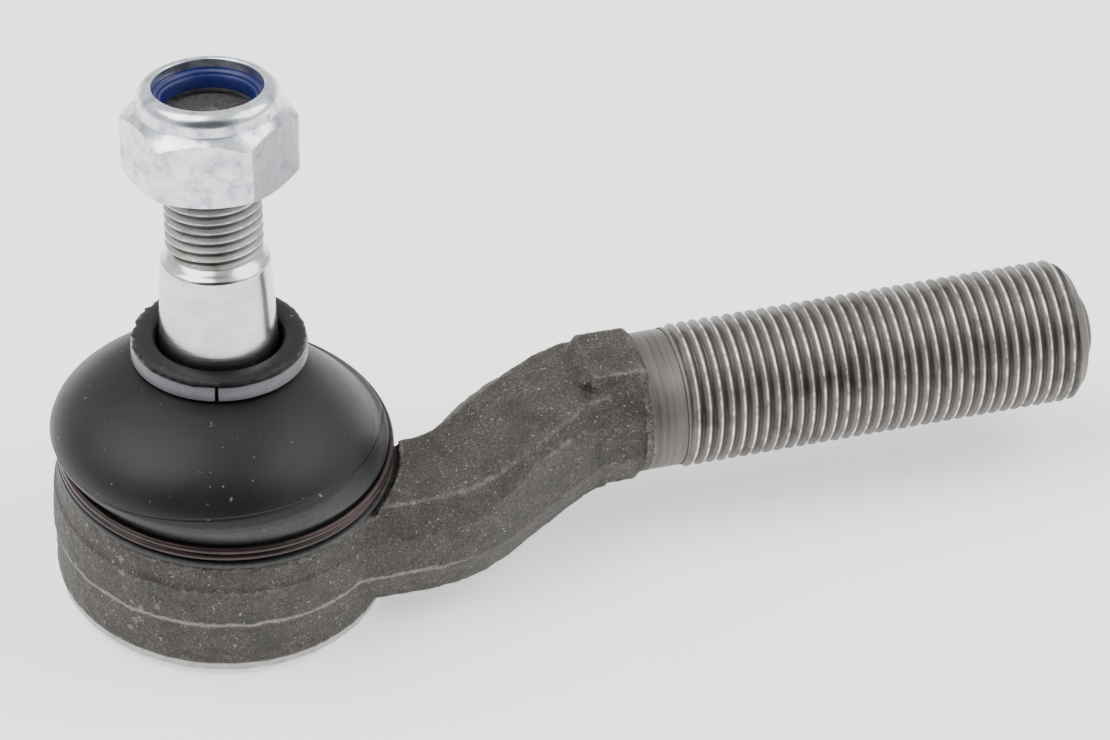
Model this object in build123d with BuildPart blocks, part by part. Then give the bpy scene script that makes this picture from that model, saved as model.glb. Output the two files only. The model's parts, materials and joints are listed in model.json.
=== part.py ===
from build123d import *
import math
import os

# Tie rod end: a forged housing with a cranked arm and a threaded shank, and a sprung ball stud in its head.
# The origin is the centre of the head's rolled rim, on the plane that it stands on. +Z runs up through the
# head and +X runs out along the shank. Millimetres and degrees throughout.

# ---- head of the housing
head_diameter = 41.4            # forged head above and below the flash band
head_height = 17.0              # rolled rim to the machined top face
flash_height = 5.5              # trimmed flash band round the forging
flash_proud = 0.3               # how far the band stands out of the head
parting_height = 10.7           # middle of the flash band, and the height of the shank's axis
draft = 0.2                     # how much smaller the head's radius is at its top and bottom
rim_height = 1.4                # machined rim under the forged skin
rim_inset = 0.4
top_chamfer = 0.2               # radial; it is three times as tall

# ---- socket inside the head
socket_diameter = 32.0
cover_diameter = 35.6
cover_thickness = 2.3
cover_dish = 0.9                # depth of the dish pressed into the cover
roll_thickness = 0.9            # lip of the housing rolled over the cover
roll_diameter = 32.6            # hole left inside the rolled lip
seal_width = 1.1
seal_thickness = 1.0
spigot_diameter = 33.0          # collar that holds the boot on
spigot_neck = 31.6              # groove under the collar, where the boot's bead sits
spigot_height = 4.0
collar_height = 1.2
mouth_diameter = 19.6           # narrowest part of the opening round the stud
mouth_flare = 1.3
roof_height = 2.7               # thickness of the housing over the upper seat

# ---- ball stud
ball_diameter = 20.0
ball_height = 14.5              # ball centre above the rim
ball_flat = 0.4
stud_lean = 11.5                # the free stud rests leaning this far towards +Y
neck_diameter = 11.2
neck_height = 12.5              # ball centre to the top of the neck
taper_height = 15.0             # ball centre to the large end of the taper
taper_length = 14.7
taper_large_diameter = 15.0
taper_ratio = 10.0              # 1 in 10 on the diameter
shoulder_length = 2.2           # rounded step from the taper to the thread
stud_thread_diameter = 12.0
stud_length = 49.8              # ball centre to the end of the thread
stud_end_chamfer = 0.8

# ---- seats and preload spring
running_clearance = 0.05
seat_gap = 0.5                  # gap between the two seats at the ball's middle
seat_middle = 2.0               # the gap is this far under the ball's centre
lower_seat_bottom = 8.5         # ball centre down to the foot of the lower seat
upper_seat_straight = 1.0       # straight part of the upper seat above the ball's centre
disc_thickness = 0.8
disc_hole = 18.4

# ---- dust boot and its rings
boot_diameter = 40.0
boot_wall = 1.6
boot_sections = 9
boot_flange_diameter = 41.2
boot_flange_height = 0.75
boot_shoulder = 20.9            # height of the dome's lower edge
boot_bulge = 22.1               # height of the widest ring
boot_bulge_x = -1.3             # the leaning stud drags the widest ring off the head's axis
boot_bulge_y = -0.4
boot_bulge_lean = 2.0
boot_belly_x = -2.0             # and bellies the wall out further, halfway up
boot_belly_y = -2.0
boot_fullness = 1.37            # how soon the dome's radius falls away with height
boot_rise = 1.24                # how late the dome gains its height
wire_diameter = 0.95
wire_turns = 2.1
wire_start_angle = 75.0       # where the clamp wire's lower end sits, from +X
neck_lean = 6.0                 # the boot's neck leans less than the stud inside it
boot_neck_height = 16.9         # ball centre to the foot of the clip's groove, along the stud
boot_hole_diameter = 15.6
clip_height = 2.1
clip_diameter = 21.6
clip_wall = 1.1
clip_gap = 0.5
clip_gap_angle = -107.0         # where the clip is split, from +X
lip_diameter = 21.2
lip_thickness = 0.8

# ---- lock nut
nut_across_flats = 19.0
nut_height = 12.0
nut_hex_height = 8.6            # bearing face to the foot of the round collar
nut_collar_diameter = 17.6
nut_chamfer = 1.1
nut_position = 41.7             # ball centre to the nut's bearing face
nut_turn = 10.6                 # how far the nut is turned from square to the shank
nut_travel_clearance = 0.06
insert_diameter = 15.0
insert_bore = 11.2
insert_height = 2.2
insert_recess = 1.3             # collar rim down to the insert
collar_mouth_diameter = 13.7

# ---- arm and shank
shank_height = ball_height      # the shank's axis runs through the ball's centre
shank_thread_diameter = 18.0
shank_thread_start = 57.0
shank_thread_end = 110.3
shank_neck_diameter = 17.2
shank_end_chamfer = 1.6
tip_diameter = 8.8              # stub left by the centring tool on the shank's end
tip_length = 1.9
arm_root_offset = -9.2          # centre of the arm where it leaves the head
arm_bend_start = 26.3
arm_bend_end = 44.1
arm_bend_rounding = 3.6         # half the length over which each end of the bend is eased
arm_half_width = 7.3
arm_half_height = 7.5
arm_flat_half_width = 5.8       # flats on the top and bottom of the arm
flash_swell = 3.6               # extra height of the flash band in the middle of the bend
wrench_start = 44.5             # thicker part with flats that a spanner holds
wrench_end = 52.8
wrench_step = 1.3
wrench_half_width = 7.7
wrench_half_height = 9.0
wrench_flat_half_width = 4.2
wrench_end_chamfer = 0.8
forging_drop = 0.5              # the forged arm sits this far under the shank's axis
bend_sections = 11

# ---- places worked out from the sizes above
head_radius = head_diameter / 2
socket_radius = socket_diameter / 2
ball_radius = ball_diameter / 2
cover_radius = cover_diameter / 2
cover_top = roll_thickness + cover_thickness
spigot_top = head_height + spigot_height
roof_bottom = spigot_top - roof_height
seat_bore = ball_radius + running_clearance
ball_centre = Vector(0, 0, ball_height)


def leaning_plane(distance, lean=stud_lean):
    """The plane across the stud's axis at a distance above the ball's centre, turned to a lean of its own."""
    along = math.radians(stud_lean)
    normal = math.radians(lean)
    origin = ball_centre + Vector(0, math.sin(along), math.cos(along)) * distance
    return Plane(origin=origin, x_dir=(1, 0, 0), z_dir=(0, math.sin(normal), math.cos(normal)))


def profile_plane(base):
    """The plane that a turned profile is drawn on: its X is the radius and its Y is the base plane's axis."""
    return Plane(origin=base.origin, x_dir=base.x_dir, z_dir=-base.y_dir)


def turned(points, base):
    """Draw a closed profile of (radius, height) points on a base plane and turn it round that plane's axis."""
    with BuildSketch(profile_plane(base)) as profile:
        with BuildLine():
            Polyline(*points, close=True)
        make_face()
    revolve(profile.sketch, axis=Axis(base.origin, base.z_dir))


# ---- housing: head, arm and shank in one forging
flash_low = parting_height - flash_height / 2
flash_high = parting_height + flash_height / 2
head_profile = [
    (0, 0),
    (head_radius - rim_inset - 0.3, 0),
    (head_radius - rim_inset, 0.3),
    (head_radius - rim_inset, rim_height),
    (head_radius - draft, rim_height),
    (head_radius, flash_low),
    (head_radius + flash_proud, flash_low),
    (head_radius + flash_proud, flash_high),
    (head_radius, flash_high),
    (head_radius - draft, head_height - top_chamfer * 3),
    (head_radius - draft - top_chamfer, head_height),
    (spigot_neck / 2, head_height),
    (spigot_neck / 2, spigot_top - collar_height),
    (spigot_diameter / 2, spigot_top - collar_height),
    (spigot_diameter / 2, spigot_top - 0.4),
    (spigot_diameter / 2 - 0.4, spigot_top),
    (0, spigot_top),
]
cone_top_radius = mouth_diameter / 2 + mouth_flare
upper_seat_shoulder = ball_height + upper_seat_straight
socket_profile = [
    (0, 0),
    (roll_diameter / 2, 0),
    (roll_diameter / 2, roll_thickness),
    (cover_radius + running_clearance, roll_thickness),
    (cover_radius + running_clearance, cover_top),
    (socket_radius, cover_top),
    (socket_radius, upper_seat_shoulder),
    (cone_top_radius, roof_bottom),
    (mouth_diameter / 2, roof_bottom),
    (mouth_diameter / 2 + mouth_flare, spigot_top),
    (0, spigot_top),
]
shank_plane = Plane(origin=(0, 0, shank_height), x_dir=(0, 1, 0), z_dir=(1, 0, 0))
seal_outer_radius = cover_radius - 0.3



def eased(u):
    """Zero before the origin and rising one for one after it, with the corner between them rounded off."""
    if abs(u) < arm_bend_rounding:
        return (u + arm_bend_rounding) ** 2 / (4 * arm_bend_rounding)
    return max(u, 0)


def arm_shift(x):
    """How far the arm has crossed from its root's line, 0, to the shank's line, 1, at a distance along."""
    return (eased(x - arm_bend_start) - eased(x - arm_bend_end)) / (arm_bend_end - arm_bend_start)


def arm_plane(x):
    """The plane across the arm at a distance along the shank, square to the arm's bend in plan."""
    shift = arm_shift(x)
    slope = -arm_root_offset * (arm_shift(x + 0.01) - arm_shift(x - 0.01)) / 0.02
    across = Vector(-slope, 1, 0).normalized()
    height = parting_height + (shank_height - forging_drop - parting_height) * shift
    origin = (x, arm_root_offset * (1 - shift), height)
    return Plane(origin=origin, x_dir=across, z_dir=(across.Y, -across.X, 0))


def forged_section(plane, half_width, half_height, flat_half_width, band_top):
    """An eight-sided section: a flash band on each side, and flats on the top and bottom."""
    band_bottom = -flash_height / 2
    with BuildSketch(plane) as section:
        with BuildLine():
            Polyline(
                (half_width, band_bottom),
                (half_width, band_top),
                (flat_half_width, half_height),
                (-flat_half_width, half_height),
                (-half_width, band_top),
                (-half_width, band_bottom),
                (-flat_half_width, -half_height),
                (flat_half_width, -half_height),
                close=True,
            )
        make_face()
    return section.sketch


def arm_section(x):
    """The arm's section at a distance along the shank, with a taller flash band in the middle of the bend."""
    band_top = flash_height / 2 + flash_swell * 4 * arm_shift(x) * (1 - arm_shift(x))
    return forged_section(arm_plane(x), arm_half_width, arm_half_height, arm_flat_half_width, band_top)


def wrench_section(x):
    """The section of the spanner's part at a distance along the shank."""
    sizes = (wrench_half_width, wrench_half_height, wrench_flat_half_width, flash_height / 2)
    return forged_section(shank_plane.offset(x), *sizes)


bend_first = arm_bend_start - arm_bend_rounding
bend_last = arm_bend_end + arm_bend_rounding
bend_step = (bend_last - bend_first) / (bend_sections - 1)
arm_stations = [head_radius / 2, (head_radius / 2 + bend_first) / 2]
arm_stations += [bend_first + bend_step * i for i in range(bend_sections)]
wrench_face = wrench_start + wrench_step
with BuildPart() as housing:
    turned(head_profile, Plane.XY)
    loft([arm_section(x) for x in arm_stations], ruled=True)
    # the spanner's part steps out of the arm and is chamfered where it meets the shank
    extrude(wrench_section(wrench_face), amount=-wrench_step * 2, taper=45)
    extrude(wrench_section(wrench_face), amount=wrench_end - wrench_end_chamfer - wrench_face)
    extrude(wrench_section(wrench_end - wrench_end_chamfer), amount=wrench_end_chamfer, taper=40)
    # machined seat for the boot, sunk into the arm's root
    with BuildSketch(Plane.XY.offset(head_height)):
        Circle(head_radius + 0.6)
        Circle(spigot_neck / 2, mode=Mode.SUBTRACT)
    extrude(amount=arm_half_height, mode=Mode.SUBTRACT)
    with BuildSketch(Plane.XY.offset(spigot_top - collar_height)):
        Circle(spigot_diameter / 2)
    extrude(amount=collar_height)
    # shank: plain neck, thread at its major diameter, end chamfer and centring stub
    with BuildSketch(shank_plane.offset(wrench_end - 1)):
        Circle(shank_neck_diameter / 2)
    extrude(amount=shank_thread_start - wrench_end + 1)
    with BuildSketch(shank_plane.offset(shank_thread_start)):
        Circle(shank_thread_diameter / 2)
    extrude(amount=shank_thread_end - shank_thread_start)
    thread_ends = housing.edges().filter_by(GeomType.CIRCLE).group_by(Axis.X)[-1]
    chamfer(thread_ends, length=shank_end_chamfer)
    with BuildSketch(shank_plane.offset(shank_thread_end)):
        Circle(tip_diameter / 2)
    extrude(amount=tip_length)
    # socket, cover seat and seal groove, cut through whatever the arm's root left in the head
    with BuildSketch(profile_plane(Plane.XY)):
        with BuildLine():
            Polyline(*socket_profile, close=True)
        make_face()
    revolve(axis=Axis.Z, mode=Mode.SUBTRACT)
    with BuildSketch(Plane.XY.offset(cover_top)):
        Circle(seal_outer_radius)
        Circle(seal_outer_radius - seal_width, mode=Mode.SUBTRACT)
    extrude(amount=seal_thickness, mode=Mode.SUBTRACT)
housing.part.label = "housing"

# ---- ball stud, turned in one piece
taper_small_radius = (taper_large_diameter - taper_length / taper_ratio) / 2
thread_radius = stud_thread_diameter / 2
neck_radius = neck_diameter / 2
taper_end = taper_height + taper_length
shoulder_end = taper_end + shoulder_length
neck_joint = math.sqrt(ball_radius**2 - neck_radius**2)
flat_radius = math.sqrt(ball_radius**2 - (ball_radius - ball_flat) ** 2)
stud_base = leaning_plane(0)

with BuildPart() as ball_stud:
    with BuildSketch(profile_plane(stud_base)):
        with BuildLine():
            low = (flat_radius, -(ball_radius - ball_flat))
            ThreePointArc(low, (ball_radius, 0), (neck_radius, neck_joint))
            Line((neck_radius, neck_joint), (neck_radius, neck_height))
            Line((neck_radius, neck_height), (taper_large_diameter / 2, taper_height))
            Line((taper_large_diameter / 2, taper_height), (taper_small_radius, taper_end))
            knee = ((taper_small_radius * 2 + thread_radius) / 3, taper_end + shoulder_length / 2)
            ThreePointArc((taper_small_radius, taper_end), knee, (thread_radius, shoulder_end))
            Line((thread_radius, shoulder_end), (thread_radius, stud_length - stud_end_chamfer))
            Line((thread_radius, stud_length - stud_end_chamfer), (thread_radius - stud_end_chamfer, stud_length))
            Line((thread_radius - stud_end_chamfer, stud_length), (0, stud_length))
            Line((0, stud_length), (0, low[1]))
            Line((0, low[1]), low)
        make_face()
    revolve(axis=Axis(stud_base.origin, stud_base.z_dir))
ball_stud.part.label = "ball_stud"


def seat_arc(top, bottom, radius):
    """The arc of a ball seat between two heights over the ball's centre, as three points on the profile."""
    middle = (top + bottom) / 2
    heights = (top, middle, bottom)
    return [(math.sqrt(radius**2 - h**2), ball_height + h) for h in heights]


# ---- bearing seats, one over the ball's middle and one under it
seat_radius = socket_radius - running_clearance
upper_top = roof_bottom - running_clearance - ball_height
upper_bottom = -seat_middle + seat_gap / 2
with BuildPart() as upper_seat:
    with BuildSketch(profile_plane(Plane.XY)):
        with BuildLine():
            arc = seat_arc(upper_top, upper_bottom, seat_bore)
            ThreePointArc(*arc)
            Line(arc[2], (seat_radius, arc[2][1]))
            Line((seat_radius, arc[2][1]), (seat_radius, upper_seat_shoulder))
            Line((seat_radius, upper_seat_shoulder), (cone_top_radius - running_clearance * 2, arc[0][1]))
            Line((cone_top_radius - running_clearance * 2, arc[0][1]), arc[0])
        make_face()
    revolve(axis=Axis.Z)
upper_seat.part.label = "upper_seat"

lower_top = -seat_middle - seat_gap / 2
lower_foot = ball_height - lower_seat_bottom
with BuildPart() as lower_seat:
    with BuildSketch(profile_plane(Plane.XY)):
        with BuildLine():
            arc = seat_arc(lower_top, -lower_seat_bottom + 1.2, seat_bore)
            ThreePointArc(*arc)
            Line(arc[2], (arc[2][0], lower_foot))
            Line((arc[2][0], lower_foot), (seat_radius, lower_foot))
            Line((seat_radius, lower_foot), (seat_radius, arc[0][1]))
            Line((seat_radius, arc[0][1]), arc[0])
        make_face()
    revolve(axis=Axis.Z)
lower_seat.part.label = "lower_seat"

# ---- preload disc spring, a coned washer between the cover and the lower seat
disc_outer_radius = socket_radius - 0.4
disc_top = lower_foot - running_clearance
with BuildPart() as preload_spring:
    turned(
        [
            (disc_outer_radius, cover_top),
            (disc_outer_radius, cover_top + disc_thickness),
            (disc_hole / 2, disc_top),
            (disc_hole / 2, disc_top - disc_thickness),
        ],
        Plane.XY,
    )
preload_spring.part.label = "preload_spring"

# ---- cover plate, dished in the middle and held by the rolled lip
with BuildPart() as cover_plate:
    with BuildSketch(Plane.XY.offset(roll_thickness)):
        Circle(cover_radius)
    extrude(amount=cover_thickness)
    with BuildSketch(Plane.XY.offset(roll_thickness)):
        Circle(disc_hole / 2)
    extrude(amount=cover_dish, taper=30, mode=Mode.SUBTRACT)
cover_plate.part.label = "cover_plate"

with BuildPart() as cover_seal_ring:
    with BuildSketch(Plane.XY.offset(cover_top)):
        Circle(seal_outer_radius)
        Circle(seal_outer_radius - seal_width, mode=Mode.SUBTRACT)
    extrude(amount=seal_thickness)
cover_seal_ring.part.label = "cover_seal_ring"

# ---- dust boot: a bead round the spigot, a dome that leans over with the stud, and a lipped neck
boot_base = head_height + running_clearance
bead_top = spigot_top - collar_height - running_clearance
wire_radius = wire_diameter / 2
flange_radius = boot_flange_diameter / 2
groove_radius = flange_radius - wire_diameter
boot_radius = boot_diameter / 2
neck_groove_radius = clip_diameter / 2 - clip_wall - running_clearance
clip_foot = boot_neck_height + 0.1
lip_foot = boot_neck_height + clip_height + 0.2
neck_base = leaning_plane(boot_neck_height, neck_lean)
neck_centre = neck_base.origin


def boot_station(climb, wall):
    """The plane and radius of the dome's skin, climb 0 at the widest ring and 1 at the neck, inside by a wall."""
    rise = math.sin(climb * math.pi / 2) ** boot_rise
    spread = math.cos(climb * math.pi / 2) ** boot_fullness if climb < 1 else 0
    belly = math.sin(climb * math.pi)
    lean = math.radians(boot_bulge_lean * (1 - climb) + neck_lean * climb)
    origin = (
        boot_bulge_x * (1 - climb) + boot_belly_x * belly,
        boot_bulge_y * (1 - climb) + boot_belly_y * belly + neck_centre.Y * climb,
        boot_bulge + (neck_centre.Z - boot_bulge) * rise,
    )
    plane = Plane(origin=origin, x_dir=(1, 0, 0), z_dir=(0, math.sin(lean), math.cos(lean)))
    radius = neck_groove_radius + (boot_radius - neck_groove_radius) * spread
    return plane.offset(-wall * climb), radius - wall * (1 - climb * 0.4)


def dome(wall, mode):
    """Loft the boot from its shoulder over its widest ring to its neck, a wall's thickness inside the skin."""
    with BuildSketch(Plane.XY.offset(boot_shoulder)) as shoulder:
        Circle(boot_radius - wall)
    sections = [shoulder.sketch]
    for i in range(boot_sections):
        plane, radius = boot_station(i / (boot_sections - 1), wall)
        with BuildSketch(plane) as section:
            Circle(radius)
        sections.append(section.sketch)
    loft(sections, mode=mode)


with BuildPart() as dust_boot:
    dome(0, Mode.ADD)
    with BuildSketch(Plane.XY.offset(boot_base)):
        Circle(groove_radius)
    extrude(amount=boot_shoulder - boot_base)
    with BuildSketch(Plane.XY.offset(boot_base)):
        Circle(flange_radius)
    extrude(amount=boot_flange_height)
    with BuildSketch(neck_base):
        Circle(neck_groove_radius)
    extrude(amount=clip_height + 0.4)
    with BuildSketch(neck_base.offset(clip_height + 0.2)):
        Circle(lip_diameter / 2)
    extrude(amount=lip_thickness)
    # inside: the cavity, the bead's bore and the hole round the stud
    dome(boot_wall, Mode.SUBTRACT)
    with BuildSketch(Plane.XY.offset(bead_top)):
        Circle(spigot_diameter / 2 + 0.2)
    extrude(amount=boot_shoulder - bead_top + 0.2, mode=Mode.SUBTRACT)
    with BuildSketch(Plane.XY.offset(boot_base)):
        Circle(spigot_neck / 2 + running_clearance)
    extrude(amount=bead_top - boot_base, mode=Mode.SUBTRACT)
    with BuildSketch(neck_base.offset(-boot_wall * 2)):
        Circle(boot_hole_diameter / 2)
    extrude(amount=boot_wall * 2 + clip_height + lip_thickness + 1, mode=Mode.SUBTRACT)
dust_boot.part.label = "dust_boot"

# ---- wire ring that clamps the boot's bead, a little over two turns
wire_path_radius = groove_radius + wire_radius + 0.03
wire_pitch = wire_diameter + 0.01
wire_foot = boot_base + boot_flange_height + wire_radius + 0.02
with BuildPart() as boot_clamp_wire:
    with BuildLine(Plane.XY.offset(wire_foot).rotated((0, 0, wire_start_angle))) as wire_path:
        Helix(pitch=wire_pitch, height=wire_pitch * wire_turns, radius=wire_path_radius)
    with BuildSketch(Plane(origin=wire_path.wire() @ 0, z_dir=wire_path.wire() % 0)):
        Circle(wire_radius)
    sweep(is_frenet=True)
boot_clamp_wire.part.label = "boot_clamp_wire"

# ---- split plastic clip in the groove of the boot's neck
clip_base = neck_base.offset(0.1)
with BuildPart() as boot_clip_ring:
    with BuildSketch(clip_base):
        Circle(clip_diameter / 2)
        Circle(clip_diameter / 2 - clip_wall, mode=Mode.SUBTRACT)
        with PolarLocations(clip_diameter / 2 - clip_wall / 2, 1, start_angle=clip_gap_angle):
            Rectangle(clip_wall * 2, clip_gap, mode=Mode.SUBTRACT)
    extrude(amount=clip_height - 0.1)
boot_clip_ring.part.label = "boot_clip_ring"

# ---- lock nut with a round collar swaged over its nylon insert
nut_base = leaning_plane(nut_position)
nut_corner_radius = nut_across_flats / 2 / math.cos(math.radians(30))
collar_radius = nut_collar_diameter / 2
nut_bore_radius = thread_radius + nut_travel_clearance
insert_seat = nut_height - insert_recess - insert_height
with BuildPart() as lock_nut:
    with BuildSketch(nut_base):
        RegularPolygon(radius=nut_across_flats / 2, side_count=6, major_radius=False, rotation=30 + nut_turn)
    extrude(amount=nut_hex_height + nut_chamfer)
    turned_blank = [
        (0, 0),
        (nut_across_flats / 2 - 0.2, 0),
        (nut_corner_radius, nut_chamfer),
        (nut_corner_radius, nut_hex_height - nut_chamfer),
        (collar_radius + 0.7, nut_hex_height + nut_chamfer),
        (0, nut_hex_height + nut_chamfer),
    ]
    with BuildSketch(profile_plane(nut_base)):
        with BuildLine():
            Polyline(*turned_blank, close=True)
        make_face()
    revolve(axis=Axis(nut_base.origin, nut_base.z_dir), mode=Mode.INTERSECT)
    with BuildSketch(profile_plane(nut_base)):
        with BuildLine():
            shoulder = (collar_radius, nut_height - 1.6)
            Line((0, 1), (collar_radius, 1))
            Line((collar_radius, 1), shoulder)
            ThreePointArc(shoulder, (collar_radius - 0.5, nut_height - 0.5), (collar_radius - 1.6, nut_height))
            Line((collar_radius - 1.6, nut_height), (0, nut_height))
            Line((0, nut_height), (0, 1))
        make_face()
    revolve(axis=Axis(nut_base.origin, nut_base.z_dir))
    with BuildSketch(nut_base):
        Circle(nut_bore_radius)
    extrude(amount=nut_height, mode=Mode.SUBTRACT)
    with BuildSketch(nut_base.offset(insert_seat)):
        Circle(insert_diameter / 2 + running_clearance)
    extrude(amount=insert_height + running_clearance, mode=Mode.SUBTRACT)
    with BuildSketch(nut_base.offset(insert_seat)):
        Circle(collar_mouth_diameter / 2)
    extrude(amount=nut_height - insert_seat, mode=Mode.SUBTRACT)
lock_nut.part.label = "lock_nut"

with BuildPart() as nylon_insert:
    with BuildSketch(nut_base.offset(insert_seat)):
        Circle(insert_diameter / 2)
        Circle(insert_bore / 2, mode=Mode.SUBTRACT)
    extrude(amount=insert_height)
nylon_insert.part.label = "nylon_insert"

pieces = [
    housing,
    cover_plate,
    cover_seal_ring,
    preload_spring,
    lower_seat,
    upper_seat,
    ball_stud,
    dust_boot,
    boot_clamp_wire,
    boot_clip_ring,
    lock_nut,
    nylon_insert,
]
os.makedirs("parts", exist_ok=True)
for piece in pieces:
    export_step(piece.part, f"parts/{piece.part.label}.step")
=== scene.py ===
import bmesh
import bpy
import math
import random
from mathutils import Matrix, Vector
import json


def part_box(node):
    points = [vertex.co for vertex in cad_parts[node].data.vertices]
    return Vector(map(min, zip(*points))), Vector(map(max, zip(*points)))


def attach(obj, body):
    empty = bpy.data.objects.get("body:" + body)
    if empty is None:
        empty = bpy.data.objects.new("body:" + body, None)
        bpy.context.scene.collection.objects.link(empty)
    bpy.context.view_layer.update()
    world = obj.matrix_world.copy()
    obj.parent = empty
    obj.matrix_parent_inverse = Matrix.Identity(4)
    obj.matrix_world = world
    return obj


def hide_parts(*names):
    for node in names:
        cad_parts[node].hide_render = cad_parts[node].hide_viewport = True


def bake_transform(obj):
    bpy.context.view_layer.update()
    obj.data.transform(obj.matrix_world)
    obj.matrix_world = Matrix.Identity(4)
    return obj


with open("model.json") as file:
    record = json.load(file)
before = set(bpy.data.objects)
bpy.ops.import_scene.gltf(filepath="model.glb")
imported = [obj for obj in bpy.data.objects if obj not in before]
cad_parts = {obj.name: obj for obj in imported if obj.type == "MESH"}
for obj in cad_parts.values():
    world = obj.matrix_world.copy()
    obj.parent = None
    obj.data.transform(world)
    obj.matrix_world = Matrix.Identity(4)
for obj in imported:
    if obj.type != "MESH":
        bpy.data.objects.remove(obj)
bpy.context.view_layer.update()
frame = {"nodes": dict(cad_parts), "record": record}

MM = 0.001
random.seed(7)

# ---- the camera, at the angle and distance that the part is seen from
CAMERA_AT = Vector((-189.68, -662.98, 625.73)) * MM
CAMERA_AZIMUTH = math.radians(-19.27)
CAMERA_ELEVATION = math.radians(40.68)
CAMERA_ROLL = math.radians(3.2)
CAMERA_LENS = 243.24            # mm on a 36 mm wide sensor

# ---- the stud's own axis
joints = {j["name"]: j for j in frame["record"]["behaviour"]["joints"]}
BALL = Vector(joints["stud_tilt"]["pos_m"])
STUD_AXIS = Vector(joints["stud_spin"]["axis"]).normalized()

# ---- places on the shank, in millimetres along +X from the head's axis
TIP_LENGTH = 1.9                # the centring stub that stands out of the shank's end
SHANK_HEIGHT = BALL.z / MM
THREAD_FROM = 57.2
THREAD_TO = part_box("housing")[1].x / MM - TIP_LENGTH
THREAD_RADIUS = 9.0
THREAD_PITCH = 1.5
THREAD_DEPTH = 0.66
THREAD_CHAMFER = 1.5
CUT_AT = 53.1                   # where the forging stops and the turned shank begins

# ---- places on the stud, in millimetres above the ball's centre
STUD_THREAD_FROM = 31.3
STUD_THREAD_TO = 49.8
STUD_THREAD_RADIUS = 6.0
STUD_THREAD_PITCH = 1.25
STUD_THREAD_DEPTH = 0.72
NUT_FACE = 41.7                 # the nut's bearing face
NUT_TURN = math.radians(10.6)   # how far the nut is turned from square to the shank
INSERT_FOOT = 8.5               # the insert's foot above the nut's bearing face

# ---- the dust boot and its rings, in millimetres
BOOT_RADIUS = 20.0
BOOT_NECK_RADIUS = 9.65
BOOT_WALL = 1.6
BOOT_SHOULDER_Z = 20.95
BOOT_BULGE_Z = 22.1
BOOT_BULGE = (-1.3, -0.4)       # the widest ring's place off the head's axis
BOOT_BELLY = (-2.0, -2.0)       # and how far the wall bellies out halfway up
BOOT_RISE = 1.24
BOOT_FULLNESS = 1.37
PARTING_LINE = 0.02074          # distance of the boot's parting line along the stud's axis, in metres
NECK_HEIGHT = 16.9
NECK_LEAN = math.radians(6.0)
BULGE_LEAN = math.radians(2.0)
WIRE_TURNS = 2.1
WIRE_PITCH = 0.96
WIRE_FOOT = 18.3
WIRE_PATH_RADIUS = 20.15
WIRE_START = math.radians(75)
CLIP_SPLIT = math.radians(-107)
CLIP_HALF_GAP = math.radians(1.2)


def link(name, mesh):
    obj = bpy.data.objects.new(name, mesh)
    bpy.context.scene.collection.objects.link(obj)
    return obj


def mesh_from(name, verts, faces, smooth_angle=35):
    mesh = bpy.data.meshes.new(name)
    mesh.from_pydata([tuple(v) for v in verts], [], faces)
    bm = bmesh.new()
    bm.from_mesh(mesh)
    bmesh.ops.remove_doubles(bm, verts=bm.verts, dist=1e-7)
    bmesh.ops.recalc_face_normals(bm, faces=bm.faces)
    bm.to_mesh(mesh)
    bm.free()
    for polygon in mesh.polygons:
        polygon.use_smooth = True
    mesh.set_sharp_from_angle(angle=math.radians(smooth_angle))
    return link(name, mesh)


def rings_mesh(name, rings, closed=True, smooth_angle=35):
    """Skin a list of equal rings of points. A closed skin also joins the last ring to the first."""
    count = len(rings[0])
    verts = [v for ring in rings for v in ring]
    faces = []
    last = len(rings) if closed else len(rings) - 1
    for i in range(last):
        a = i * count
        b = ((i + 1) % len(rings)) * count
        for k in range(count):
            m = (k + 1) % count
            faces.append((a + k, a + m, b + m, b + k))
    return mesh_from(name, verts, faces, smooth_angle)


def turned(name, profile, segments=128, smooth_angle=35):
    """Turn a closed profile of (radius, height) in millimetres round local Z."""
    rings = []
    for r, z in profile:
        ring = []
        for k in range(segments):
            a = 2 * math.pi * k / segments
            ring.append(Vector((r * math.cos(a), r * math.sin(a), z)) * MM)
        rings.append(ring)
    return rings_mesh(name, rings, True, smooth_angle)


def arc(cx, cy, radius, start, end, steps):
    """Points of an arc in the profile's plane, angles in degrees."""
    points = []
    for i in range(steps + 1):
        a = math.radians(start + (end - start) * i / steps)
        points.append((cx + radius * math.cos(a), cy + radius * math.sin(a)))
    return points


def stud_matrix(height=0.0):
    """A frame on the stud's axis, a height in millimetres above the ball's centre."""
    x = Vector((1, 0, 0))
    y = STUD_AXIS.cross(x)
    m = Matrix((x, y, STUD_AXIS)).transposed().to_4x4()
    m.translation = BALL + STUD_AXIS * height * MM
    return m


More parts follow.
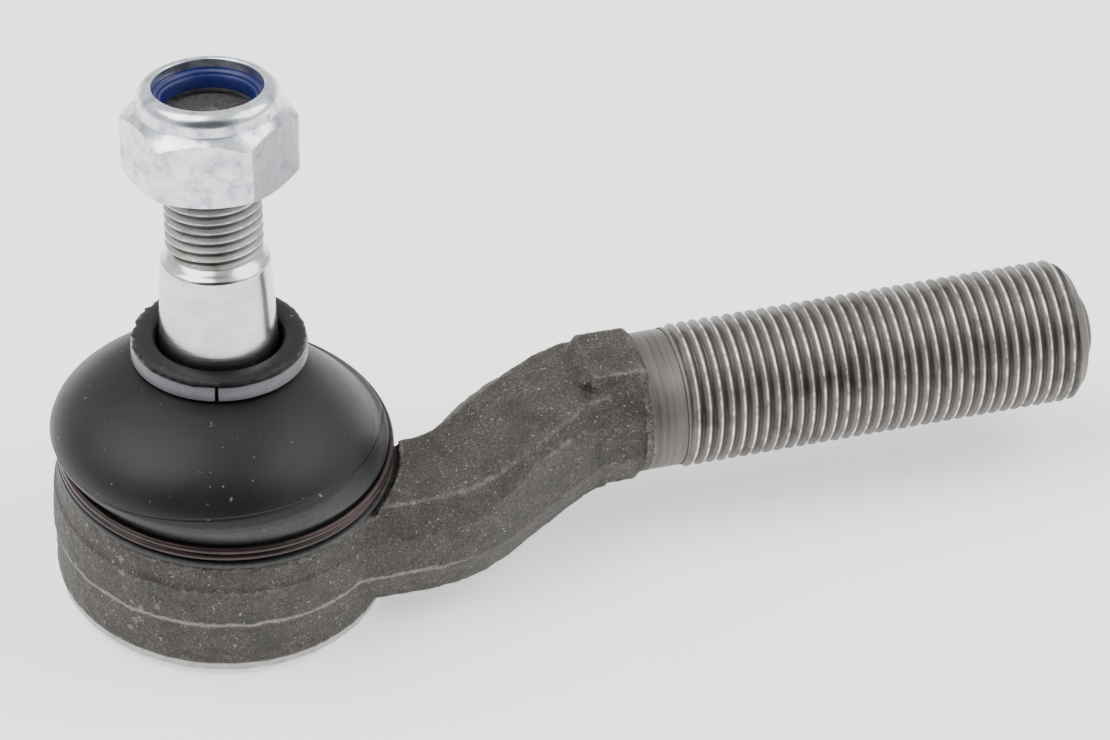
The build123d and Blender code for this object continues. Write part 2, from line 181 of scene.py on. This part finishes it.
def thread_mesh(name, length, pitch, major, depth, hand, run_in, chamfer, segments=112):
    """A screw thread along local Z. The grid follows the helix, so crests and roots are clean lines."""
    phases = (0.0, 0.06, 0.16, 0.3, 0.43, 0.5, 0.57, 0.7, 0.84, 0.94)
    levels = (0.0, 0.03, 0.22, 0.6, 0.95, 1.0, 0.95, 0.6, 0.22, 0.03)
    columns = len(phases)
    turns = int(length / pitch) + 3
    total = turns * columns
    verts = []
    for k in range(segments):
        a = 2 * math.pi * k / segments
        for c in range(total):
            s = (c // columns + phases[c % columns] - 1.5) * pitch
            z = s + hand * pitch * k / segments
            r = major - depth * levels[c % columns]
            inside = min(max(z, 0.0), length)
            fade = min(1.0, inside / run_in) if run_in else 1.0
            r = (major - depth * 0.55) * (1 - fade) + r * fade if run_in else r
            r = min(r, major - chamfer + max(length - inside, 0.0)) if chamfer else r
            verts.append(Vector((r * math.cos(a), r * math.sin(a), inside)) * MM)
    faces = []
    for k in range(segments):
        wrap = k == segments - 1
        nk = 0 if wrap else k + 1
        step = columns * hand if wrap else 0
        for c in range(total - 1):
            p, q = c + step, c + 1 + step
            if 0 <= p < total and 0 <= q < total:
                faces.append((k * total + c, k * total + c + 1, nk * total + q, nk * total + p))
    return mesh_from(name, verts, faces, 50)


# ---- materials

def nodes_of(name):
    material = bpy.data.materials.new(name)
    material.use_nodes = True
    tree = material.node_tree
    shader = tree.nodes["Principled BSDF"]
    coords = tree.nodes.new("ShaderNodeTexCoord")
    return material, tree, shader, coords


def noise(tree, coords, scale, detail=4.0, roughness=0.6, distortion=0.0):
    n = tree.nodes.new("ShaderNodeTexNoise")
    n.inputs["Scale"].default_value = scale
    n.inputs["Detail"].default_value = detail
    n.inputs["Roughness"].default_value = roughness
    n.inputs["Distortion"].default_value = distortion
    tree.links.new(coords.outputs["Object"], n.inputs["Vector"])
    return n.outputs["Fac"]


def ramp(tree, factor, stops):
    r = tree.nodes.new("ShaderNodeValToRGB")
    while len(r.color_ramp.elements) < len(stops):
        r.color_ramp.elements.new(0.5)
    for element, (at, colour) in zip(r.color_ramp.elements, stops):
        element.position = at
        element.color = (*colour, 1)
    tree.links.new(factor, r.inputs["Fac"])
    return r.outputs["Color"]


def mixed(tree, a, b, factor, mode="MIX"):
    m = tree.nodes.new("ShaderNodeMix")
    m.data_type = "RGBA"
    m.blend_type = mode
    if isinstance(factor, float):
        m.inputs["Factor"].default_value = factor
    else:
        tree.links.new(factor, m.inputs["Factor"])
    tree.links.new(a, m.inputs["A"])
    tree.links.new(b, m.inputs["B"])
    return m.outputs["Result"]


def math_node(tree, operation, a, b=None):
    m = tree.nodes.new("ShaderNodeMath")
    m.operation = operation
    for socket, value in zip(m.inputs, (a, b)):
        if value is None:
            continue
        if isinstance(value, (int, float)):
            socket.default_value = value
        else:
            tree.links.new(value, socket)
    return m.outputs["Value"]


def bump(tree, shader, height, strength, distance):
    b = tree.nodes.new("ShaderNodeBump")
    b.inputs["Strength"].default_value = strength
    b.inputs["Distance"].default_value = distance
    tree.links.new(height, b.inputs["Height"])
    tree.links.new(b.outputs["Normal"], shader.inputs["Normal"])


def place_of(tree, coords):
    """The three object coordinates, in metres."""
    split = tree.nodes.new("ShaderNodeSeparateXYZ")
    tree.links.new(coords.outputs["Object"], split.inputs["Vector"])
    return split.outputs["X"], split.outputs["Y"], split.outputs["Z"]


def axis_radius(tree, coords):
    """Distance from local Z, in metres."""
    x, y, _ = place_of(tree, coords)
    xx = math_node(tree, "MULTIPLY", x, x)
    yy = math_node(tree, "MULTIPLY", y, y)
    return math_node(tree, "SQRT", math_node(tree, "ADD", xx, yy))


def ranged(tree, value, low, high):
    m = tree.nodes.new("ShaderNodeMapRange")
    m.inputs["From Min"].default_value = low
    m.inputs["From Max"].default_value = high
    tree.links.new(value, m.inputs["Value"])
    return m.outputs["Result"]


def forged_steel():
    material, tree, shader, coords = nodes_of("forged_steel")
    fine = noise(tree, coords, 3800, 3, 0.7)
    blotch = noise(tree, coords, 260, 5, 0.62)
    speck = noise(tree, coords, 2300, 2, 0.5)
    grain = [(0.3, (0.03, 0.027, 0.023)), (0.5, (0.072, 0.065, 0.056)), (0.7, (0.17, 0.156, 0.136))]
    base = ramp(tree, fine, grain)
    tone = ramp(tree, blotch, [(0.36, (0.4, 0.4, 0.4)), (0.62, (0.85, 0.85, 0.84))])
    colour = mixed(tree, base, tone, 1.0, "MULTIPLY")
    glint = ramp(tree, speck, [(0.66, (0, 0, 0)), (0.76, (0.34, 0.33, 0.31))])
    colour = mixed(tree, colour, glint, 0.8, "ADD")
    # corners and the flash line are rubbed brighter than the skin between them
    shape = tree.nodes.new("ShaderNodeNewGeometry")
    worn = ranged(tree, shape.outputs["Pointiness"], 0.508, 0.545)
    worn = math_node(tree, "MULTIPLY", worn, ranged(tree, noise(tree, coords, 700, 4, 0.6), 0.35, 0.6))
    pale = ramp(tree, fine, [(0.3, (0.15, 0.138, 0.122)), (0.7, (0.34, 0.32, 0.29))])
    colour = mixed(tree, colour, pale, math_node(tree, "MULTIPLY", worn, 0.6))
    # where the flash was trimmed off, a ragged pale line follows the foot of the band
    x, _, z = place_of(tree, coords)
    wander = math_node(tree, "SUBTRACT", noise(tree, coords, 330, 5, 0.7), 0.5)
    wander = math_node(tree, "MULTIPLY", wander, 0.0022)
    height = math_node(tree, "SUBTRACT", z, 0.0081)
    away = math_node(tree, "ABSOLUTE", math_node(tree, "ADD", height, wander))
    trimmed = ranged(tree, away, 0.00042, 0.0001)
    trimmed = math_node(tree, "MULTIPLY", trimmed, ranged(tree, x, 0.03, 0.02))
    colour = mixed(tree, colour, pale, math_node(tree, "MULTIPLY", trimmed, 0.75))
    # the machined rim at the foot of the head
    rim = ranged(tree, z, 0.00155, 0.00125)
    bright = [(0.3, (0.38, 0.37, 0.36)), (0.7, (0.52, 0.51, 0.5))]
    bright = ramp(tree, noise(tree, coords, 900, 3, 0.5), bright)
    colour = mixed(tree, colour, bright, rim)
    tree.links.new(colour, shader.inputs["Base Color"])
    rough = ramp(tree, blotch, [(0.3, (0.5, 0.5, 0.5)), (0.7, (0.72, 0.72, 0.72))])
    tree.links.new(rough, shader.inputs["Roughness"])
    shader.inputs["Metallic"].default_value = 0.35
    pits = math_node(tree, "MULTIPLY", speck, 0.5)
    relief = math_node(tree, "ADD", math_node(tree, "MULTIPLY", fine, 0.6), pits)
    bump(tree, shader, relief, 0.85, 0.00022)
    return material


def threaded_steel(name, major, depth, root_shade, flank, crest_highlight, grain):
    """Steel whose crests carry a painted highlight and whose roots carry painted shade, set by distance
    from local Z.
    """
    material, tree, shader, coords = nodes_of(name)
    level = ranged(tree, axis_radius(tree, coords), (major - depth) * MM, major * MM)
    wander = noise(tree, coords, grain, 4, 0.6)
    uneven = math_node(tree, "MULTIPLY", math_node(tree, "SUBTRACT", wander, 0.5), 0.35)
    level = math_node(tree, "ADD", level, uneven)
    # painted shade in the thread's roots, painted highlight on its crests
    colour = ramp(tree, level, [(0.0, root_shade), (0.18, root_shade), (0.45, flank), (0.93, flank), (1.0, crest_highlight)])
    dirt = noise(tree, coords, grain * 0.3, 3, 0.5)
    dirt = ramp(tree, dirt, [(0.3, (0.5, 0.48, 0.45)), (0.46, (1, 1, 1))])
    colour = mixed(tree, colour, dirt, 1.0, "MULTIPLY")
    tree.links.new(colour, shader.inputs["Base Color"])
    shader.inputs["Metallic"].default_value = 0.65
    shader.inputs["Roughness"].default_value = 0.42
    bump(tree, shader, wander, 0.25, 0.0001)
    return material


def bright_steel(name, low, high, roughness, ring_scale, metallic=1.0):
    """Turned steel with fine rings round local Z."""
    material, tree, shader, coords = nodes_of(name)
    stretch = tree.nodes.new("ShaderNodeMapping")
    stretch.inputs["Scale"].default_value = (60, 60, ring_scale)
    tree.links.new(coords.outputs["Object"], stretch.inputs["Vector"])
    rings = tree.nodes.new("ShaderNodeTexNoise")
    rings.inputs["Scale"].default_value = 1.0
    rings.inputs["Detail"].default_value = 5.0
    tree.links.new(stretch.outputs["Vector"], rings.inputs["Vector"])
    colour = ramp(tree, rings.outputs["Fac"], [(0.3, low), (0.7, high)])
    stain = ramp(tree, noise(tree, coords, 220, 4, 0.6), [(0.36, (0.8, 0.79, 0.77)), (0.6, (1, 1, 1))])
    colour = mixed(tree, colour, stain, 1.0, "MULTIPLY")
    tree.links.new(colour, shader.inputs["Base Color"])
    shader.inputs["Metallic"].default_value = metallic
    shader.inputs["Roughness"].default_value = roughness
    bump(tree, shader, rings.outputs["Fac"], 0.15, 0.00006)
    return material


def zinc_plate():
    material, tree, shader, coords = nodes_of("zinc_plate")
    crystals = tree.nodes.new("ShaderNodeTexVoronoi")
    crystals.inputs["Scale"].default_value = 900
    tree.links.new(coords.outputs["Object"], crystals.inputs["Vector"])
    cloud = noise(tree, coords, 420, 5, 0.65)
    plating = [(0.3, (0.3, 0.31, 0.36)), (0.47, (0.62, 0.66, 0.7)), (0.68, (0.82, 0.87, 0.88))]
    base = ramp(tree, cloud, plating)
    tint = ramp(tree, crystals.outputs["Distance"], [(0.0, (0.9, 0.9, 0.93)), (0.8, (1, 1, 1))])
    colour = mixed(tree, base, tint, 1.0, "MULTIPLY")
    tree.links.new(colour, shader.inputs["Base Color"])
    rough = ramp(tree, cloud, [(0.3, (0.3, 0.3, 0.3)), (0.7, (0.16, 0.16, 0.16))])
    tree.links.new(rough, shader.inputs["Roughness"])
    shader.inputs["Metallic"].default_value = 0.95
    bump(tree, shader, cloud, 0.3, 0.00012)
    return material


def boot_rubber():
    material, tree, shader, coords = nodes_of("boot_rubber")
    grain = noise(tree, coords, 1500, 4, 0.6)
    haze = noise(tree, coords, 90, 4, 0.55)
    dust = noise(tree, coords, 1250, 2, 0.4)
    base = ramp(tree, haze, [(0.3, (0.004, 0.004, 0.0045)), (0.7, (0.011, 0.011, 0.012))])
    # the mould's parting line runs square to the stud; below it a painted reflection of the white floor
    # makes the skin paler towards the rim
    across = tree.nodes.new("ShaderNodeVectorMath")
    across.operation = "DOT_PRODUCT"
    across.inputs[1].default_value = STUD_AXIS
    tree.links.new(coords.outputs["Object"], across.inputs[0])
    height = math_node(tree, "SUBTRACT", across.outputs["Value"], PARTING_LINE)
    reflection_fade = ranged(tree, height, -0.0001, -0.0032)
    # painted reflection of the floor on the downward-facing band under the parting line
    floor_reflection = ramp(tree, grain, [(0.3, (0.02, 0.02, 0.021)), (0.7, (0.04, 0.04, 0.042))])
    base = mixed(tree, base, floor_reflection, reflection_fade)
    line = ranged(tree, math_node(tree, "ABSOLUTE", height), 0.00022, 0.00008)
    darker = ramp(tree, grain, [(0.4, (0.001, 0.001, 0.001)), (0.6, (0.002, 0.002, 0.002))])
    base = mixed(tree, base, darker, line)
    specks = ramp(tree, dust, [(0.735, (0, 0, 0)), (0.78, (0.12, 0.12, 0.12))])
    colour = mixed(tree, base, specks, 1.0, "ADD")
    tree.links.new(colour, shader.inputs["Base Color"])
    rough = ramp(tree, haze, [(0.3, (0.4, 0.4, 0.4)), (0.7, (0.52, 0.52, 0.52))])
    tree.links.new(rough, shader.inputs["Roughness"])
    shader.inputs["Specular IOR Level"].default_value = 0.27
    relief = math_node(tree, "SUBTRACT", math_node(tree, "MULTIPLY", grain, 0.12), line)
    bump(tree, shader, relief, 0.6, 0.00012)
    return material


def plain(name, low, high, roughness, metallic=0.0, grain=900, strength=0.15):
    material, tree, shader, coords = nodes_of(name)
    cloud = noise(tree, coords, grain, 4, 0.6)
    colour = ramp(tree, cloud, [(0.3, low), (0.7, high)])
    tree.links.new(colour, shader.inputs["Base Color"])
    shader.inputs["Roughness"].default_value = roughness
    shader.inputs["Metallic"].default_value = metallic
    bump(tree, shader, cloud, strength, 0.0001)
    return material


def dress(obj, material, body, slot, *nodes):
    obj.data.materials.clear()
    obj.data.materials.append(material)
    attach(obj, body)
    if nodes:
        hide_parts(*nodes)
    return obj


# ---- housing

def forging():
    """The forged head and arm: the solid's own shape with its edges worn round and a rough skin."""
    source = frame["nodes"]["housing"]
    bm = bmesh.new()
    bm.from_mesh(source.data)
    cut = bmesh.ops.bisect_plane(
        bm,
        geom=bm.verts[:] + bm.edges[:] + bm.faces[:],
        plane_co=(CUT_AT * MM, 0, 0),
        plane_no=(1, 0, 0),
        clear_outer=True,
    )
    edges = [e for e in cut["geom_cut"] if isinstance(e, bmesh.types.BMEdge)]
    bmesh.ops.contextual_create(bm, geom=edges)
    mesh = bpy.data.meshes.new("forging")
    bm.to_mesh(mesh)
    bm.free()
    obj = link("forging", mesh)
    remesh = obj.modifiers.new("even_skin", "REMESH")
    remesh.mode = "VOXEL"
    remesh.voxel_size = 0.3 * MM
    smooth = obj.modifiers.new("worn_edges", "SMOOTH")
    smooth.factor = 0.5
    smooth.iterations = 2
    scale = bpy.data.textures.new("forge_scale", "CLOUDS")
    scale.noise_scale = 1.4 * MM
    scale.noise_depth = 2
    pitted = obj.modifiers.new("pitted_skin", "DISPLACE")
    pitted.texture = scale
    pitted.texture_coords = "LOCAL"
    pitted.strength = 0.24 * MM
    pitted.mid_level = 0.5
    return obj


def shank_matrix(distance):
    """A frame whose Z runs along the shank, a distance in millimetres from the head's axis."""
    m = Matrix(((0, 0, 1), (0, 1, 0), (-1, 0, 0))).to_4x4()
    m.translation = Vector((distance, 0, SHANK_HEIGHT)) * MM
    return m


def shank():
    """The turned shank: its left-hand thread, plain neck and chamfered end with the centring stub."""
    length = THREAD_TO - THREAD_FROM
    thread = thread_mesh(
        "shank_thread", length, THREAD_PITCH, THREAD_RADIUS, THREAD_DEPTH, -1, 0.9, THREAD_CHAMFER
    )
    thread.matrix_world = shank_matrix(THREAD_FROM)
    neck_length = THREAD_FROM - CUT_AT + 0.75
    neck = turned(
        "shank_neck",
        [(0, 0), (8.6, 0), (8.6, neck_length - 0.5), (8.4, neck_length), (0, neck_length)],
        96,
    )
    neck.matrix_world = shank_matrix(CUT_AT - 0.45)
    rim = THREAD_RADIUS - THREAD_CHAMFER
    profile = [(0, -1.5), (rim + 0.02, -1.5), (rim + 0.02, 0.0), (rim - 0.5, 0.25), (4.9, 0.3)]
    profile += arc(3.6, 0.9, 0.9, 0, 90, 5)
    profile += [(0, 1.85)]
    end = turned("shank_end", profile, 96)
    end.matrix_world = shank_matrix(THREAD_TO)
    return thread, neck, end


# ---- ball stud

def stud():
    """The ball, neck, taper and shoulder, turned in one profile, and the thread above them."""
    ball = 10.0
    neck = 5.6
    profile = [(0, -9.6), (2.8, -9.6)]
    low = math.degrees(math.asin(-9.6 / ball))
    high = math.degrees(math.acos(neck / ball))
    profile += arc(0, 0, ball, low, high, 40)[1:]
    profile += [(neck, 12.5), (7.3, 14.7), (7.47, 15.0)]
    profile += [(7.5 - 1.47 / 2 * i / 6, 15.0 + 14.7 * i / 6) for i in range(1, 7)]
    profile += arc(6.1, 29.85, 0.68, 0, 60, 6)
    profile += [(6.2, 30.75), (5.7, 31.3), (5.4, 31.5), (0, 31.5)]
    body = turned("stud_body", profile, 144, 40)
    body.matrix_world = stud_matrix()
    length = STUD_THREAD_TO - STUD_THREAD_FROM
    thread = thread_mesh(
        "stud_thread", length, STUD_THREAD_PITCH, STUD_THREAD_RADIUS, STUD_THREAD_DEPTH, 1, 0.8, 0.8, 96
    )
    thread.matrix_world = stud_matrix(STUD_THREAD_FROM)
    profile = [(0, -1.0), (5.2, -1.0), (5.2, -0.02), (4.9, 0.0), (1.6, 0.0), (0.9, -0.5), (0, -0.9)]
    end = turned("stud_end", profile, 72)
    end.matrix_world = stud_matrix(STUD_THREAD_TO)
    return body, thread, end


# ---- lock nut

def nut_outline(angle):
    """Half-width of the hexagon at an angle, with its corners very slightly rounded."""
    half = 9.5
    a = (angle - NUT_TURN + math.pi / 6) % (math.pi / 3) - math.pi / 6
    return min(half / math.cos(a), 10.78)


def nut():
    """Hexagon, round collar swaged over the insert, and the bore, built one angle at a time."""
    segments = 216
    columns = []
    for k in range(segments):
        a = 2 * math.pi * k / segments + NUT_TURN
        h = nut_outline(a)
        foot = 9.1
        bottom = (h - foot) * math.tan(math.radians(28))
        shoulder = 8.75
        top = 8.9 - (h - shoulder - 0.15) * math.tan(math.radians(33))
        profile = [(6.6, 0), (6.9, 0), (foot, 0), (h, bottom), (h, (bottom + top) / 2), (h, top)]
        profile += [(shoulder + 0.22, 9.0), (shoulder, 9.3), (8.72, 10.2)]
        profile += arc(7.05, 10.33, 1.67, 4, 90, 8)
        profile += arc(7.05, 11.72, 0.28, 90, 190, 4)
        profile += [(6.75, 11.2), (6.78, 10.75), (7.55, 10.7), (7.55, 8.4), (6.1, 8.4), (6.06, 0.5)]
        columns.append([Vector((r * math.cos(a), r * math.sin(a), z)) * MM for r, z in profile])
    rings = [[column[i] for column in columns] for i in range(len(columns[0]))]
    obj = rings_mesh("nut_body", rings, True, 28)
    obj.matrix_world = stud_matrix(NUT_FACE)
    return obj


def insert():
    """The nylon ring: a rounded top, a plain bore and a seat inside the collar."""
    profile = [(5.6, 0.1), (5.8, 0.0), (7.48, 0.0), (7.48, 2.1)]
    profile += arc(6.5, 1.75, 0.45, 90, 180, 4)
    profile += [(5.75, 1.7), (5.6, 1.5)]
    obj = turned("insert_ring", profile, 96, 40)
    obj.matrix_world = stud_matrix(NUT_FACE + INSERT_FOOT)
    return obj


# ---- dust boot

def leaning_point(centre, radius, angle, lean):
    """A point on a ring round a centre that leans towards +Y."""
    x = radius * math.cos(angle)
    y = radius * math.sin(angle)
    across = centre[1] + y * math.cos(lean)
    up = centre[2] - y * math.sin(lean)
    return Vector((centre[0] + x, across, up)) * MM


def leaning_ring(centre, radius, lean, segments=160):
    """A whole leaning ring of points. The radius may be a function of the angle."""
    points = []
    for k in range(segments):
        a = 2 * math.pi * k / segments
        r = radius(a) if callable(radius) else radius
        points.append(leaning_point(centre, r, a, lean))
    return points


def neck_point(height):
    """A point on the boot's neck, a height in millimetres above the foot of the clip's groove."""
    base = BALL / MM + STUD_AXIS * NECK_HEIGHT
    return base + Vector((0, math.sin(NECK_LEAN), math.cos(NECK_LEAN))) * height


def dome_ring(climb, wall=0.0):
    """A ring of the dome between its widest ring, at a climb of 0, and its neck, at 1."""
    neck = neck_point(0)
    rise = math.sin(climb * math.pi / 2) ** BOOT_RISE
    spread = max(math.cos(climb * math.pi / 2), 0.0) ** BOOT_FULLNESS
    belly = math.sin(climb * math.pi)
    centre = (
        BOOT_BULGE[0] * (1 - climb) + BOOT_BELLY[0] * belly,
        BOOT_BULGE[1] * (1 - climb) + BOOT_BELLY[1] * belly + neck.y * climb,
        BOOT_BULGE_Z + (neck.z - BOOT_BULGE_Z) * rise - wall * climb,
    )
    radius = BOOT_NECK_RADIUS + (BOOT_RADIUS - BOOT_NECK_RADIUS) * spread - wall * (1 - climb * 0.4)
    return leaning_ring(centre, radius, BULGE_LEAN * (1 - climb) + NECK_LEAN * climb)


def frayed(radius, amount):
    """A moulded edge with ragged flash left on it, longest at the back and left."""
    waves = [(random.uniform(0, 6.28), random.randint(9, 60)) for _ in range(14)]

    def at(angle):
        rough = sum(math.sin(n * angle + p) for p, n in waves) / 6
        away = 0.35 + 0.65 * max(0.0, math.cos(angle - math.radians(135)))
        return radius + amount * away * max(-0.6, rough)

    return at


def boot():
    """Bead flange, wire groove, shoulder, dome, clip groove and lip, then back down the inside."""
    flat = [
        (15.9, 17.06), (20.45, 17.06), (20.6, 17.2), (20.6, 17.7), (20.45, 17.83),
        (19.66, 17.86), (19.65, 20.6), (19.72, 20.86), (19.95, BOOT_SHOULDER_Z),
    ]
    rings = [leaning_ring((0, 0, z), r, 0) for r, z in flat]
    for t in (0.25, 0.5, 0.75):
        ease = t * t * (3 - 2 * t)
        z = BOOT_SHOULDER_Z + (BOOT_BULGE_Z - BOOT_SHOULDER_Z) * t
        centre = (BOOT_BULGE[0] * ease, BOOT_BULGE[1] * ease, z)
        radius = BOOT_RADIUS + 0.03 * math.sin(math.pi * t)
        rings.append(leaning_ring(centre, radius, BULGE_LEAN * ease))
    seam = 5
    for i in range(45):
        ring = dome_ring(i / 44)
        if i in (seam, seam + 1):
            centre = sum(ring, Vector()) / len(ring)
            swell = 1.0035 if i == seam else 0.9985
            ring = [centre + (p - centre) * swell for p in ring]
        rings.append(ring)
    for height, radius in ((0.1, 9.66), (2.2, 9.66), (2.3, 9.9), (2.32, 10.3)):
        rings.append(leaning_ring(neck_point(height), radius, NECK_LEAN))
    rings.append(leaning_ring(neck_point(2.42), frayed(10.58, 0.5), NECK_LEAN))
    rings.append(leaning_ring(neck_point(2.75), frayed(10.5, 0.28), NECK_LEAN))
    mouth = ((2.98, 10.1), (3.05, 9.4), (3.03, 8.6), (2.9, 8.15), (2.5, 7.85), (1.5, 7.8), (-1.5, 7.8))
    for height, radius in mouth:
        rings.append(leaning_ring(neck_point(height), radius, NECK_LEAN))
    rings += [dome_ring(1 - i / 14, BOOT_WALL) for i in range(15)]
    for z, radius in ((20.8, 16.8), (19.76, 16.7), (19.75, 15.9)):
        rings.append(leaning_ring((0, 0, z), radius, 0))
    return rings_mesh("boot_skin", rings, True, 40)


def clamp_wire():
    """A little over two turns of wire in the groove of the boot's bead, its ends at the back."""
    curve = bpy.data.curves.new("clamp_wire", "CURVE")
    curve.dimensions = "3D"
    curve.bevel_depth = 0.47 * MM
    curve.bevel_resolution = 5
    curve.use_fill_caps = True
    spline = curve.splines.new("POLY")
    steps = 260
    spline.points.add(steps)
    for i in range(steps + 1):
        a = WIRE_START + 2 * math.pi * WIRE_TURNS * i / steps
        x = WIRE_PATH_RADIUS * MM * math.cos(a)
        y = WIRE_PATH_RADIUS * MM * math.sin(a)
        z = (WIRE_FOOT + WIRE_PITCH * WIRE_TURNS * i / steps) * MM
        spline.points[i].co = (x, y, z, 1)
    return link("clamp_wire", curve)


def clip_ring():
    """The split plastic ring in the groove under the boot's lip."""
    steps = 120
    section = [(9.72, 0.1), (10.5, 0.1), (10.78, 0.35), (10.8, 1.7), (10.6, 2.02), (9.72, 2.05)]
    count = len(section)
    verts = []
    for i in range(steps + 1):
        a = CLIP_SPLIT + CLIP_HALF_GAP + (2 * math.pi - 2 * CLIP_HALF_GAP) * i / steps
        for radius, height in section:
            verts.append(leaning_point(neck_point(height), radius, a, NECK_LEAN))
    faces = []
    for i in range(steps):
        for k in range(count):
            m = (k + 1) % count
            faces.append((i * count + k, i * count + m, (i + 1) * count + m, (i + 1) * count + k))
    faces.append(tuple(range(count)))
    faces.append(tuple(steps * count + k for k in reversed(range(count))))
    return mesh_from("clip_band", verts, faces, 35)


# ---- surroundings

def area(name, size, power, place, target):
    """A soft rectangular light aimed at a point."""
    light = bpy.data.lights.new(name, "AREA")
    light.shape = "RECTANGLE"
    light.size, light.size_y = size
    light.energy = power
    light.spread = math.pi
    obj = bpy.data.objects.new(name, light)
    bpy.context.scene.collection.objects.link(obj)
    obj.location = place
    obj.rotation_euler = (Vector(target) - Vector(place)).to_track_quat("-Z", "Y").to_euler()
    return obj


def surroundings():
    """A white floor, a white tent with a darker side towards the viewer, and soft lights over it."""
    floor = mesh_from("floor", [(-3, -3, 0), (3, -3, 0), (3, 3, 0), (-3, 3, 0)], [(0, 1, 2, 3)])
    floor.location.z = -0.0006
    paper = plain("floor_paper", (0.9, 0.9, 0.9), (0.92, 0.92, 0.92), 0.9, 0.0, 4, 0.0)
    glow = paper.node_tree.nodes["Principled BSDF"]
    glow.inputs["Emission Color"].default_value = (1, 1, 1, 1)
    glow.inputs["Emission Strength"].default_value = 0.75
    floor.data.materials.append(paper)
    world = bpy.data.worlds.new("tent")
    bpy.context.scene.world = world
    world.use_nodes = True
    tree = world.node_tree
    background = tree.nodes["Background"]
    coords = tree.nodes.new("ShaderNodeTexCoord")
    dot = tree.nodes.new("ShaderNodeVectorMath")
    dot.operation = "DOT_PRODUCT"
    dot.inputs[1].default_value = (-0.27, -0.87, 0.42)
    tree.links.new(coords.outputs["Generated"], dot.inputs[0])
    tent = [(0.0, (1, 1, 1)), (0.62, (0.95, 0.95, 0.96)), (0.86, (0.06, 0.06, 0.065))]
    shade = ramp(tree, dot.outputs["Value"], tent)
    tree.links.new(shade, background.inputs["Color"])
    background.inputs["Strength"].default_value = 1.1
    area("key", (0.9, 0.9), 13.0, (-0.5, 0.15, 1.0), (0.03, 0, 0.02))
    area("fill", (0.8, 0.8), 7.0, (0.75, -0.15, 0.75), (0.03, 0, 0.02))


def camera():
    data = bpy.data.cameras.new("camera")
    data.sensor_width = 36
    data.lens = CAMERA_LENS
    data.clip_end = 20
    obj = bpy.data.objects.new("camera", data)
    bpy.context.scene.collection.objects.link(obj)
    a, e, roll = CAMERA_AZIMUTH, CAMERA_ELEVATION, CAMERA_ROLL
    back = Vector((math.sin(a) * math.cos(e), -math.cos(a) * math.cos(e), math.sin(e)))
    right = Vector((0, 0, 1)).cross(back).normalized()
    up = back.cross(right)
    rolled_right = right * math.cos(roll) + up * math.sin(roll)
    rolled_up = up * math.cos(roll) - right * math.sin(roll)
    place = Matrix((rolled_right, rolled_up, back)).transposed().to_4x4()
    place.translation = CAMERA_AT
    obj.matrix_world = place
    bpy.context.scene.camera = obj


def build_housing():
    dress(forging(), forged_steel(), "housing", "forged_steel", "housing")
    turned_dark = bright_steel(
        "turned_dark", (0.07, 0.064, 0.057), (0.15, 0.139, 0.126), 0.45, 1500, 0.45
    )
    threaded = threaded_steel(
        "shank_steel",
        THREAD_RADIUS,
        THREAD_DEPTH,
        # the root colour is painted shade and the crest colour a painted highlight
        root_shade=(0.07, 0.065, 0.06),
        flank=(0.17, 0.158, 0.146),
        crest_highlight=(0.8, 0.78, 0.76),
        grain=700,
    )
    thread, neck, end = shank()
    dress(thread, threaded, "housing", "forged_steel")
    dress(neck, turned_dark, "housing", "forged_steel")
    dress(end, turned_dark, "housing", "forged_steel")


def build_stud():
    body, thread, end = stud()
    polished = bright_steel("polished_steel", (0.6, 0.59, 0.57), (0.74, 0.73, 0.71), 0.2, 5200)
    threaded = threaded_steel(
        "stud_steel",
        STUD_THREAD_RADIUS,
        STUD_THREAD_DEPTH,
        # the root colour is painted shade and the crest colour a painted highlight
        root_shade=(0.12, 0.115, 0.11),
        flank=(0.38, 0.37, 0.355),
        crest_highlight=(0.8, 0.79, 0.77),
        grain=900,
    )
    sawn = plain("stud_end_steel", (0.03, 0.028, 0.027), (0.09, 0.085, 0.08), 0.6, 0.5, 1800)
    dress(body, polished, "stud", "machined_steel", "ball_stud")
    dress(thread, threaded, "stud", "machined_steel")
    dress(end, sawn, "stud", "machined_steel")


def build_nut():
    dress(nut(), zinc_plate(), "nut", "zinc_steel", "lock_nut")
    nylon = plain("blue_nylon", (0.004, 0.008, 0.07), (0.007, 0.014, 0.12), 0.4, 0.0, 900, 0.1)
    dress(insert(), nylon, "nut_carrier", "nylon", "nylon_insert")


def build_boot():
    skin = boot()
    skin.data.materials.append(boot_rubber())
    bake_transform(skin)
    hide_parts("dust_boot")
    steel = plain("wire_steel", (0.016, 0.009, 0.009), (0.042, 0.024, 0.023), 0.3, 0.5, 500)
    dress(clamp_wire(), steel, "housing", "wire_steel", "boot_clamp_wire")
    plastic = plain("clip_plastic", (0.11, 0.115, 0.125), (0.15, 0.155, 0.165), 0.38)
    dress(clip_ring(), plastic, "boot_neck", "clip_plastic", "boot_clip_ring")


def dress_hidden_parts():
    """The parts inside the head keep their own shapes, with their edges broken."""
    plate = bright_steel("pressed_steel", (0.22, 0.22, 0.22), (0.36, 0.36, 0.355), 0.42, 1500)
    acetal = plain("white_acetal", (0.72, 0.71, 0.66), (0.82, 0.81, 0.76), 0.4)
    seal = plain("seal_rubber", (0.012, 0.012, 0.012), (0.03, 0.03, 0.03), 0.6)
    materials = {
        "cover_plate": plate,
        "preload_spring": plate,
        "cover_seal_ring": seal,
        "upper_seat": acetal,
        "lower_seat": acetal,
    }
    for name, material in materials.items():
        node = frame["nodes"][name]
        node.data.materials.clear()
        node.data.materials.append(material)
        edge = node.modifiers.new("broken_edges", "BEVEL")
        edge.width = 0.15 * MM
        edge.segments = 2
        edge.limit_method = "ANGLE"


camera()
surroundings()
build_housing()
build_stud()
build_nut()
build_boot()
dress_hidden_parts()
